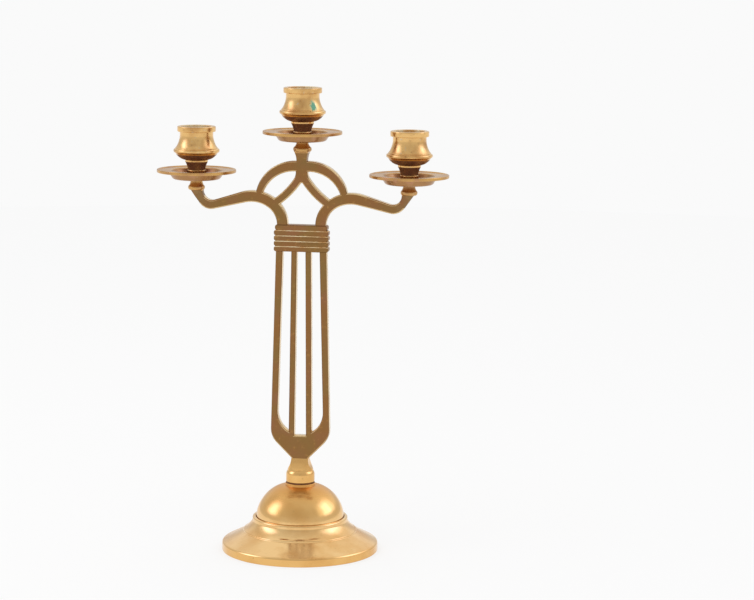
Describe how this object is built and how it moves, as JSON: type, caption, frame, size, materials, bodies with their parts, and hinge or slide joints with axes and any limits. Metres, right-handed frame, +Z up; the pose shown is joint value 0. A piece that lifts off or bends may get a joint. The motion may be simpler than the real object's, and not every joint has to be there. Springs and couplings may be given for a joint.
{
  "type": "tabletop candelabra",
  "caption": "Brass table candelabra with a forked openwork stem, arched crown and side arms on a round turned foot, with dished drip pans and screw-on candle cups.",
  "frame": {"origin": "on the table, under the middle of the round foot", "axes": "+Z up along the stem, +X along the arms to the right of the picture, -Y the front"},
  "size_m": [0.2136, 0.1146, 0.34],
  "materials": {
    "polished_brass": "polished, worn",
    "satin_brass": "satin, hazed",
    "aged_brass": "patinated, bright edges",
    "steel": "plain, dull"
  },
  "bodies": {
    "stand": {"foot": "polished_brass", "stem_frame": "aged_brass", "tie_stud": "steel", "tie_washer": "steel", "tie_nut": "steel"},
    "left_stud": {"left_cup_stud": "aged_brass"},
    "left_cup": {"left_candle_cup": "polished_brass"},
    "left_pan": {"left_drip_pan": "satin_brass"},
    "centre_stud": {"centre_cup_stud": "aged_brass"},
    "centre_cup": {"centre_candle_cup": "polished_brass"},
    "centre_pan": {"centre_drip_pan": "satin_brass"},
    "right_stud": {"right_cup_stud": "aged_brass"},
    "right_cup": {"right_candle_cup": "polished_brass"},
    "right_pan": {"right_drip_pan": "satin_brass"}
  },
  "joints": [
    {"name": "left_cup_turn", "type": "hinge", "parent": "stand", "child": "left_stud", "pos_m": [-0.078, 0, 0.27349], "axis": [0, 0, 1], "range_deg": [0, 2340]},
    {"name": "left_cup_lift", "type": "slide", "parent": "left_stud", "child": "left_cup", "axis": [0, 0, 1], "range_m": [0, 0.0065]},
    {"name": "left_pan_turn", "type": "hinge", "parent": "stand", "child": "left_pan", "pos_m": [-0.078, 0, 0.27189], "axis": [0, 0, 1], "continuous": true},
    {"name": "centre_cup_turn", "type": "hinge", "parent": "stand", "child": "centre_stud", "pos_m": [0, 0, 0.3031], "axis": [0, 0, 1], "range_deg": [0, 2340]},
    {"name": "centre_cup_lift", "type": "slide", "parent": "centre_stud", "child": "centre_cup", "axis": [0, 0, 1], "range_m": [0, 0.0065]},
    {"name": "centre_pan_turn", "type": "hinge", "parent": "stand", "child": "centre_pan", "pos_m": [0, 0, 0.3015], "axis": [0, 0, 1], "continuous": true},
    {"name": "right_cup_turn", "type": "hinge", "parent": "stand", "child": "right_stud", "pos_m": [0.078, 0, 0.27349], "axis": [0, 0, 1], "range_deg": [0, 2340]},
    {"name": "right_cup_lift", "type": "slide", "parent": "right_stud", "child": "right_cup", "axis": [0, 0, 1], "range_m": [0, 0.0065]},
    {"name": "right_pan_turn", "type": "hinge", "parent": "stand", "child": "right_pan", "pos_m": [0.078, 0, 0.27189], "axis": [0, 0, 1], "continuous": true}
  ],
  "couplings": [
    {"joint": "left_cup_turn", "follows": "left_cup_lift", "rad_per_m": 6283.2},
    {"joint": "centre_cup_turn", "follows": "centre_cup_lift", "rad_per_m": 6283.2},
    {"joint": "right_cup_turn", "follows": "right_cup_lift", "rad_per_m": 6283.2}
  ]
}
